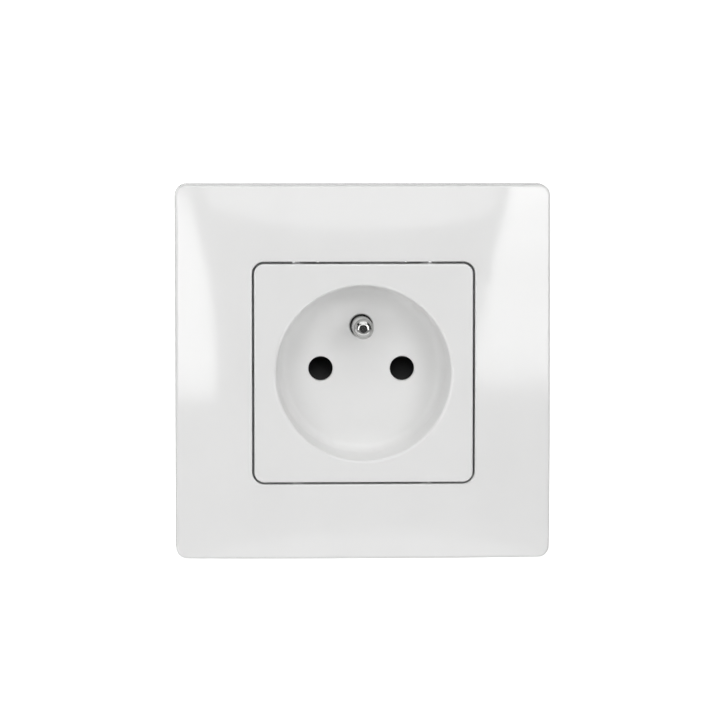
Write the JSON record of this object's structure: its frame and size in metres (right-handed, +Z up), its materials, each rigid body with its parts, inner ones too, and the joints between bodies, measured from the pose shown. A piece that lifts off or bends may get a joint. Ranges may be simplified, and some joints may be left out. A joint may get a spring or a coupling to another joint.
{
  "type": "wall socket",
  "caption": "Square flush wall socket with a crowned gloss frame, a round dish, two shuttered round pin holes and a projecting earth pin.",
  "frame": {"origin": "centre of the box screws, on the wall surface behind the socket's middle", "axes": "X to the right and Z up as seen from the room, Y into the wall"},
  "size_m": [0.0866, 0.0382, 0.0866],
  "materials": {
    "white_gloss": "glossy moulded white plastic",
    "white_housing": "matt moulded plastic",
    "black_plastic": "matt black moulded plastic",
    "zinc_steel": "zinc plated pressed steel",
    "screw_steel": "zinc plated turned steel",
    "spring_steel": "bright spring steel wire",
    "contact_brass": "bent sheet brass",
    "nickel": "nickel plated turned brass"
  },
  "bodies": {
    "base": {"cover_frame": "white_gloss", "socket_cover": "white_gloss", "support_plate": "zinc_steel", "contact_housing": "white_housing", "rear_cover": "white_housing", "shutter_spring": "spring_steel", "live_contact": "contact_brass", "neutral_contact": "contact_brass", "earth_pin": "nickel", "earth_strap": "contact_brass", "fixing_screws": "screw_steel"},
    "shutter": {"shutter": "black_plastic"},
    "live_terminal_screw": {"live_terminal_screw": "screw_steel"},
    "live_terminal_cage": {"live_terminal_cage": "zinc_steel"},
    "neutral_terminal_screw": {"neutral_terminal_screw": "screw_steel"},
    "neutral_terminal_cage": {"neutral_terminal_cage": "zinc_steel"},
    "earth_terminal_screw": {"earth_terminal_screw": "screw_steel"},
    "earth_terminal_cage": {"earth_terminal_cage": "zinc_steel"},
    "left_claw_screw": {"left_claw_screw": "screw_steel"},
    "left_claw": {"left_claw": "zinc_steel"},
    "left_claw_nut": {"left_claw_nut": "screw_steel"},
    "right_claw_screw": {"right_claw_screw": "screw_steel"},
    "right_claw": {"right_claw": "zinc_steel"},
    "right_claw_nut": {"right_claw_nut": "screw_steel"}
  },
  "joints": [
    {"name": "shutter_slide", "type": "slide", "parent": "base", "child": "shutter", "axis": [0, 0, -1], "range_m": [0, 0.0059], "stiffness_N_per_m": 60, "springref_m": -0.004, "deforming": ["shutter_spring"]},
    {"name": "live_terminal_screw_turn", "type": "hinge", "parent": "base", "child": "live_terminal_screw", "pos_m": [-0.0095, 0.019, -0.0192], "axis": [0, 0, 1], "range_deg": [0, 1800.5]},
    {"name": "live_terminal_cage_slide", "type": "slide", "parent": "base", "child": "live_terminal_cage", "axis": [0, 0, -1], "range_m": [0, 0.003]},
    {"name": "neutral_terminal_screw_turn", "type": "hinge", "parent": "base", "child": "neutral_terminal_screw", "pos_m": [0.0095, 0.019, -0.0192], "axis": [0, 0, 1], "range_deg": [0, 1800.5]},
    {"name": "neutral_terminal_cage_slide", "type": "slide", "parent": "base", "child": "neutral_terminal_cage", "axis": [0, 0, -1], "range_m": [0, 0.003]},
    {"name": "earth_terminal_screw_turn", "type": "hinge", "parent": "base", "child": "earth_terminal_screw", "pos_m": [0, 0.019, 0.0192], "axis": [0, 0, -1], "range_deg": [0, 1800.5]},
    {"name": "earth_terminal_cage_slide", "type": "slide", "parent": "base", "child": "earth_terminal_cage", "axis": [0, 0, 1], "range_m": [0, 0.003]},
    {"name": "left_claw_screw_turn", "type": "hinge", "parent": "base", "child": "left_claw_screw", "pos_m": [-0.0277, 0, 0], "axis": [0, 1, 0], "range_deg": [0, 1417.99]},
    {"name": "left_claw_swing", "type": "hinge", "parent": "base", "child": "left_claw", "pos_m": [-0.023, 0.003, 0], "axis": [0, 0, 1], "range_deg": [0, 24.05]},
    {"name": "left_claw_nut_slide", "type": "slide", "parent": "base", "child": "left_claw_nut", "axis": [0, -1, 0], "range_m": [0, 0.00197]},
    {"name": "right_claw_screw_turn", "type": "hinge", "parent": "base", "child": "right_claw_screw", "pos_m": [0.0277, 0, 0], "axis": [0, 1, 0], "range_deg": [0, 1417.99]},
    {"name": "right_claw_swing", "type": "hinge", "parent": "base", "child": "right_claw", "pos_m": [0.023, 0.003, 0], "axis": [0, 0, -1], "range_deg": [0, 24.05]},
    {"name": "right_claw_nut_slide", "type": "slide", "parent": "base", "child": "right_claw_nut", "axis": [0, -1, 0], "range_m": [0, 0.00197]}
  ],
  "couplings": [
    {"joint": "live_terminal_screw_turn", "follows": "live_terminal_cage_slide", "rad_per_m": 10472},
    {"joint": "neutral_terminal_screw_turn", "follows": "neutral_terminal_cage_slide", "rad_per_m": 10472},
    {"joint": "earth_terminal_screw_turn", "follows": "earth_terminal_cage_slide", "rad_per_m": 10472},
    {"joint": "left_claw_swing", "follows": "left_claw_nut_slide", "rad_per_m": 212.77},
    {"joint": "left_claw_screw_turn", "follows": "left_claw_nut_slide", "rad_per_m": 12566},
    {"joint": "right_claw_swing", "follows": "right_claw_nut_slide", "rad_per_m": 212.77},
    {"joint": "right_claw_screw_turn", "follows": "right_claw_nut_slide", "rad_per_m": 12566}
  ]
}
